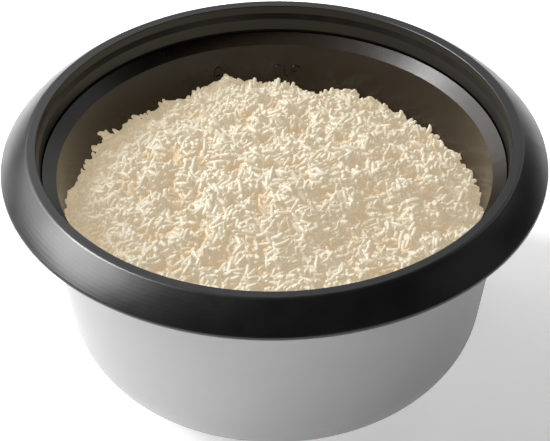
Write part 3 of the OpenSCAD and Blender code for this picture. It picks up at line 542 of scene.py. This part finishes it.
def finish(slot, low, high, rough, patch, grain, depth, metal=0.0, stretch=(1, 1, 1), turned=None,
           specular=0.5, coat=0.0, clear=0.0, ior=1.5):
    """A surface with mottled colour, uneven gloss and a fine grain.

    low and high are its darkest and lightest colours, rough its lowest and highest roughness,
    patch the size of its mottling and grain that of its texture, with the texture's depth.
    turned is the size and the depth of its turned rings, where it has them.
    """
    material, tree, shader = fresh(slot)
    mottling = noise(tree, patch, 4.0, stretch)
    fine = noise(tree, grain, 2.0, stretch)
    tree.links.new(colours(tree, mottling, low, high), shader.inputs["Base Color"])
    tree.links.new(spread(tree, mottling, *rough), shader.inputs["Roughness"])
    normal = bumps(tree, fine, depth)
    if turned:
        ring_size, ring_depth = turned
        normal = bumps(tree, rings(tree, ring_size), ring_depth, normal)
    tree.links.new(normal, shader.inputs["Normal"])
    shader.inputs["Metallic"].default_value = metal
    shader.inputs["Specular IOR Level"].default_value = specular
    shader.inputs["Coat Weight"].default_value = coat
    shader.inputs["Coat Roughness"].default_value = COAT_ROUGH
    shader.inputs["Transmission Weight"].default_value = clear
    shader.inputs["IOR"].default_value = ior
    return material


def grey(value, warm=0.0):
    """A grey, with a slight warm cast if one is given."""
    return (value * (1 + warm), value, value * (1 - warm))


UPRIGHT = (1, 1, 0.06)  # draws a pattern out along Z
FINISHES = {
    "shell_paint": dict(low=grey(0.315), high=grey(0.335), rough=(0.54, 0.60), metal=0.5, patch=0.02,
                        grain=0.00035, depth=0.000006),
    "collar_plastic": dict(low=grey(0.005), high=grey(0.007), rough=(0.29, 0.34), patch=0.012,
                           grain=0.00045, depth=0.000012),
    "pot_coating": dict(low=(0.012, 0.008, 0.005), high=(0.016, 0.011, 0.007), rough=(0.24, 0.28),
                        patch=0.015, grain=0.0005, depth=0.000012, specular=0.4),
    "shield_aluminium": dict(low=grey(0.60), high=grey(0.68), rough=(0.26, 0.36), metal=1.0, patch=0.03,
                             grain=0.0006, depth=0.000006, stretch=UPRIGHT),
    "cast_aluminium": dict(low=grey(0.46, 0.01), high=grey(0.56, 0.01), rough=(0.34, 0.46), metal=1.0,
                           patch=0.01, grain=0.0009, depth=0.00002, turned=(0.0016, 0.00001)),
    "cap_aluminium": dict(low=grey(0.58), high=grey(0.68), rough=(0.28, 0.38), metal=1.0, patch=0.006,
                          grain=0.0005, depth=0.000008, turned=(0.0008, 0.000006)),
    "plated_steel": dict(low=grey(0.48), high=grey(0.60), rough=(0.24, 0.40), metal=1.0, patch=0.012,
                         grain=0.0012, depth=0.00001),
    "steel_screw": dict(low=grey(0.50), high=grey(0.62), rough=(0.22, 0.34), metal=1.0, patch=0.003,
                        grain=0.0004, depth=0.000008),
    "spring_steel": dict(low=grey(0.34), high=grey(0.44), rough=(0.26, 0.36), metal=1.0, patch=0.004,
                         grain=0.0003, depth=0.000006),
    "element_steel": dict(low=(0.20, 0.17, 0.14), high=(0.32, 0.29, 0.26), rough=(0.38, 0.52), metal=1.0,
                          patch=0.008, grain=0.0006, depth=0.00001),
    "ferrite": dict(low=grey(0.035), high=grey(0.055), rough=(0.42, 0.6), metal=0.3, patch=0.004,
                    grain=0.0003, depth=0.00001),
    "brass_tab": dict(low=(0.62, 0.42, 0.17), high=(0.76, 0.55, 0.25), rough=(0.24, 0.36), metal=1.0,
                      patch=0.004, grain=0.0004, depth=0.000006),
    "foot_rubber": dict(low=grey(0.014), high=grey(0.022), rough=(0.66, 0.82), patch=0.006, grain=0.0005,
                        depth=0.00003, specular=0.35),
    "knob_plastic": dict(low=grey(0.014), high=grey(0.019), rough=(0.30, 0.38), patch=0.008,
                         grain=0.0004, depth=0.00001),
    "panel_plastic": dict(low=grey(0.016), high=grey(0.021), rough=(0.38, 0.46), patch=0.012,
                          grain=0.00045, depth=0.000014),
    "case_plastic": dict(low=grey(0.028), high=grey(0.040), rough=(0.40, 0.52), patch=0.008,
                         grain=0.0005, depth=0.000014),
    "button_plastic": dict(low=(0.42, 0.035, 0.03), high=(0.50, 0.05, 0.04), rough=(0.32, 0.42),
                           patch=0.003, grain=0.0004, depth=0.00001),
    "white_ceramic": dict(low=grey(0.70, 0.02), high=grey(0.80, 0.02), rough=(0.22, 0.36), patch=0.006,
                          grain=0.0007, depth=0.00001, coat=0.3),
    "red_lens": dict(low=(0.50, 0.015, 0.012), high=(0.62, 0.03, 0.02), rough=(0.10, 0.16), patch=0.003,
                     grain=0.0012, depth=0.00003, clear=0.35, coat=0.4),
    "amber_lens": dict(low=(0.72, 0.27, 0.03), high=(0.82, 0.36, 0.06), rough=(0.10, 0.16), patch=0.003,
                       grain=0.0012, depth=0.00003, clear=0.35, coat=0.4),
    "board_green": dict(low=(0.012, 0.09, 0.04), high=(0.02, 0.13, 0.06), rough=(0.30, 0.42), patch=0.004,
                        grain=0.0006, depth=0.00002),
    "bulb_glass": dict(low=grey(0.90), high=grey(0.96), rough=(0.02, 0.05), patch=0.004, grain=0.002,
                       depth=0.00001, clear=0.9, ior=1.47),
    "brown_wire": dict(low=(0.10, 0.045, 0.02), high=(0.14, 0.065, 0.03), rough=(0.36, 0.48),
                       patch=0.006, grain=0.0006, depth=0.00001),
    "blue_wire": dict(low=(0.02, 0.08, 0.35), high=(0.03, 0.11, 0.44), rough=(0.36, 0.48), patch=0.006,
                      grain=0.0006, depth=0.00001),
    "green_wire": dict(low=(0.03, 0.25, 0.05), high=(0.30, 0.42, 0.04), rough=(0.36, 0.48), patch=0.006,
                       grain=0.0006, depth=0.00001),
    "red_wire": dict(low=(0.40, 0.03, 0.02), high=(0.50, 0.05, 0.03), rough=(0.36, 0.48), patch=0.006,
                     grain=0.0006, depth=0.00001),
    "cream_wire": dict(low=(0.62, 0.54, 0.38), high=(0.72, 0.65, 0.48), rough=(0.36, 0.48), patch=0.006,
                       grain=0.0006, depth=0.00001),
}
materials = {slot: finish(slot, **look) for slot, look in FINISHES.items()}


NECK_BELOW_RIM = 8 * MM
NECK_EDGE = 1 * MM  # height over which the black begins
NECK_BLACK = grey(0.012)


def blacken_above(slot, height):
    """Turns a metal's colour black above a height, as on the neck round the pot's rim."""
    tree = materials[slot].node_tree
    shader = tree.nodes["Principled BSDF"]
    colour = shader.inputs["Base Color"].links[0].from_socket
    coords = tree.nodes.new("ShaderNodeTexCoord")
    split = tree.nodes.new("ShaderNodeSeparateXYZ")
    tree.links.new(coords.outputs["Object"], split.inputs["Vector"])
    blackened = spread(tree, split.outputs["Z"], 0, 1, height, height + NECK_EDGE)
    tree.links.new(blend(tree, blackened, colour, NECK_BLACK), shader.inputs["Base Color"])


blacken_above("shield_aluminium", pot_high.z - NECK_BELOW_RIM)

RICE_PALE = ((0.225, 0.23, 0.20), (0.255, 0.265, 0.235))
# the tan of the painted shade deep between the grains
RICE_SHADE_TAN = ((0.18, 0.11, 0.045), (0.22, 0.145, 0.07))
RICE_ROUGH = (0.34, 0.5)
RICE_GLOW = 0.43  # painted light: an even glow that stands for the light that scatters through the moist grains
RICE_GLOW_COLOUR = (1.0, 0.80, 0.53, 1)
PALE_PATCH = 7 * MM
SHADE_TAN_PATCH = 12 * MM
GLOSS_PATCH = 4 * MM
SKIN_GRAIN = 1.1 * MM
SKIN_DEPTH = 0.05 * MM


def rice_finish():
    """Moist cooked rice: pale cream on top, a warmer tan deep between the grains as painted shade, and a
    painted glow.
    """
    material, tree, shader = fresh("cooked_rice")
    depth = tree.nodes.new("ShaderNodeAttribute")
    depth.attribute_name = PAINTED_SHADE
    pale = colours(tree, noise(tree, PALE_PATCH, 2.0), *RICE_PALE)
    tan = colours(tree, noise(tree, SHADE_TAN_PATCH, 2.0), *RICE_SHADE_TAN)
    # painted shade: the deeper a point lies, the more it turns to the tan
    deep = spread(tree, depth.outputs["Fac"], 0, 1, start=0.15, end=0.95)
    tree.links.new(blend(tree, deep, pale, tan), shader.inputs["Base Color"])
    tree.links.new(spread(tree, noise(tree, GLOSS_PATCH), *RICE_ROUGH), shader.inputs["Roughness"])
    tree.links.new(bumps(tree, noise(tree, SKIN_GRAIN), SKIN_DEPTH), shader.inputs["Normal"])
    shader.inputs["Specular IOR Level"].default_value = 0.3
    # painted light: the rice glows with this warm colour and strength
    shader.inputs["Emission Color"].default_value = RICE_GLOW_COLOUR
    shader.inputs["Emission Strength"].default_value = RICE_GLOW
    return material


materials["cooked_rice"] = rice_finish()


def clad(piece, slot):
    """Gives a piece its slot's material and nothing else."""
    piece.data.materials.clear()
    piece.data.materials.append(materials[slot])


for part in frame["record"]["subparts"]:
    clad(frame["nodes"][part["node"]], part["material_slot"])

for piece in make_rice():
    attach(piece, "pot")
    clad(piece, "cooked_rice")

clad(make_magnet_spring(), "spring_steel")

marks = make_marks()
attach(marks, "pot")
clad(marks, "pot_coating")

# ---------------------------------------------------------------- floor, lights and camera

FLOOR_SIDE = 40.0
FLOOR_PATCH = 0.4
FLOOR_PALE = (grey(0.93), grey(0.95))
FLOOR_GLOW = 0.40


def make_floor():
    """A plain pale sheet under the cooker, lit a little from within so that it stays near white."""
    material, tree, shader = fresh("floor")
    pattern = noise(tree, FLOOR_PATCH, 2.0)
    tree.links.new(colours(tree, pattern, *FLOOR_PALE), shader.inputs["Base Color"])
    shader.inputs["Roughness"].default_value = 0.9
    shader.inputs["Specular IOR Level"].default_value = 0.1
    shader.inputs["Emission Color"].default_value = (1, 1, 1, 1)
    shader.inputs["Emission Strength"].default_value = FLOOR_GLOW
    half = FLOOR_SIDE / 2
    points = [(-half, -half, 0), (half, -half, 0), (half, half, 0), (-half, half, 0)]
    floor = mesh_piece("floor", points, [(0, 1, 2, 3)], smooth=False)
    floor.data.materials.append(material)


def soft_light(name, turn, rise, side, power):
    """A square softbox that faces the cooker: turn from +X and rise above the floor in degrees."""
    light = bpy.data.lights.new(name, "AREA")
    light.shape = "SQUARE"
    light.size = side
    light.energy = power
    lamp = bpy.data.objects.new(name, light)
    bpy.context.scene.collection.objects.link(lamp)
    a, e = math.radians(turn), math.radians(rise)
    middle = Vector((0, 0, TOP_Z / 2))
    away = Vector((math.cos(e) * math.cos(a), math.cos(e) * math.sin(a), math.sin(e)))
    lamp.location = middle + away * LIGHT_D
    lamp.rotation_euler = away.to_track_quat("Z", "Y").to_euler()


def make_world():
    """Weak pale light from all round, stronger overhead."""
    world = bpy.data.worlds.new("studio")
    world.use_nodes = True
    bpy.context.scene.world = world
    tree = world.node_tree
    background = tree.nodes["Background"]
    coords = tree.nodes.new("ShaderNodeTexCoord")
    split = tree.nodes.new("ShaderNodeSeparateXYZ")
    tree.links.new(coords.outputs["Generated"], split.inputs["Vector"])
    height = spread(tree, split.outputs["Z"], 0, 1, start=-0.2, end=1.0)
    tone = colours(tree, height, WORLD_LOW, WORLD_OVERHEAD, start=0, end=1)
    tree.links.new(tone, background.inputs["Color"])
    background.inputs["Strength"].default_value = WORLD_STRENGTH


CAMERA_D = 1.2  # from the middle of the collar's top
CAMERA_RISE = math.radians(36.42)  # of the line from there to the camera
CAMERA_DIP = math.radians(38.61)  # of the camera's own axis
CAMERA_ROLL = math.radians(-0.63)
CAMERA_LENS = 143.9  # mm
CAMERA_SENSOR = 36  # mm


def make_camera():
    """The camera at the front, looking down at the open pot."""
    data = bpy.data.cameras.new("camera")
    data.lens = CAMERA_LENS
    data.sensor_width = CAMERA_SENSOR
    camera = bpy.data.objects.new("camera", data)
    bpy.context.scene.collection.objects.link(camera)
    bpy.context.scene.camera = camera
    place = Vector((0, -CAMERA_D * math.cos(CAMERA_RISE), TOP_Z + CAMERA_D * math.sin(CAMERA_RISE)))
    level = Matrix.Rotation(math.pi / 2 - CAMERA_DIP, 4, "X")
    camera.matrix_world = Matrix.Translation(place) @ level @ Matrix.Rotation(CAMERA_ROLL, 4, "Z")


SOFTBOXES = (  # name, turn, rise, side, power
    ("key_left", 180, 34, 0.9, 31),
    ("upper_left", 157, 52, 0.45, 34),
    ("left_behind", 150, 28, 0.9, 9.5),
    ("behind_left", 125, 40, 0.9, 6.6),
    ("behind", 90, 38, 0.9, 2.3),
    ("behind_right", 60, 22, 0.9, 2.3),
    ("upper_right", 35, 40, 0.9, 2.1),
    ("right", 352, 28, 0.9, 0.7),
    ("front_right", 300, 12, 0.9, 1.3),
)
LIGHT_D = 1.8
WORLD_STRENGTH = 0.02
WORLD_LOW = grey(0.35)
WORLD_OVERHEAD = grey(0.75)

make_floor()
for softbox in SOFTBOXES:
    soft_light(*softbox)
make_world()
make_camera()
bpy.context.scene.view_settings.view_transform = "Standard"
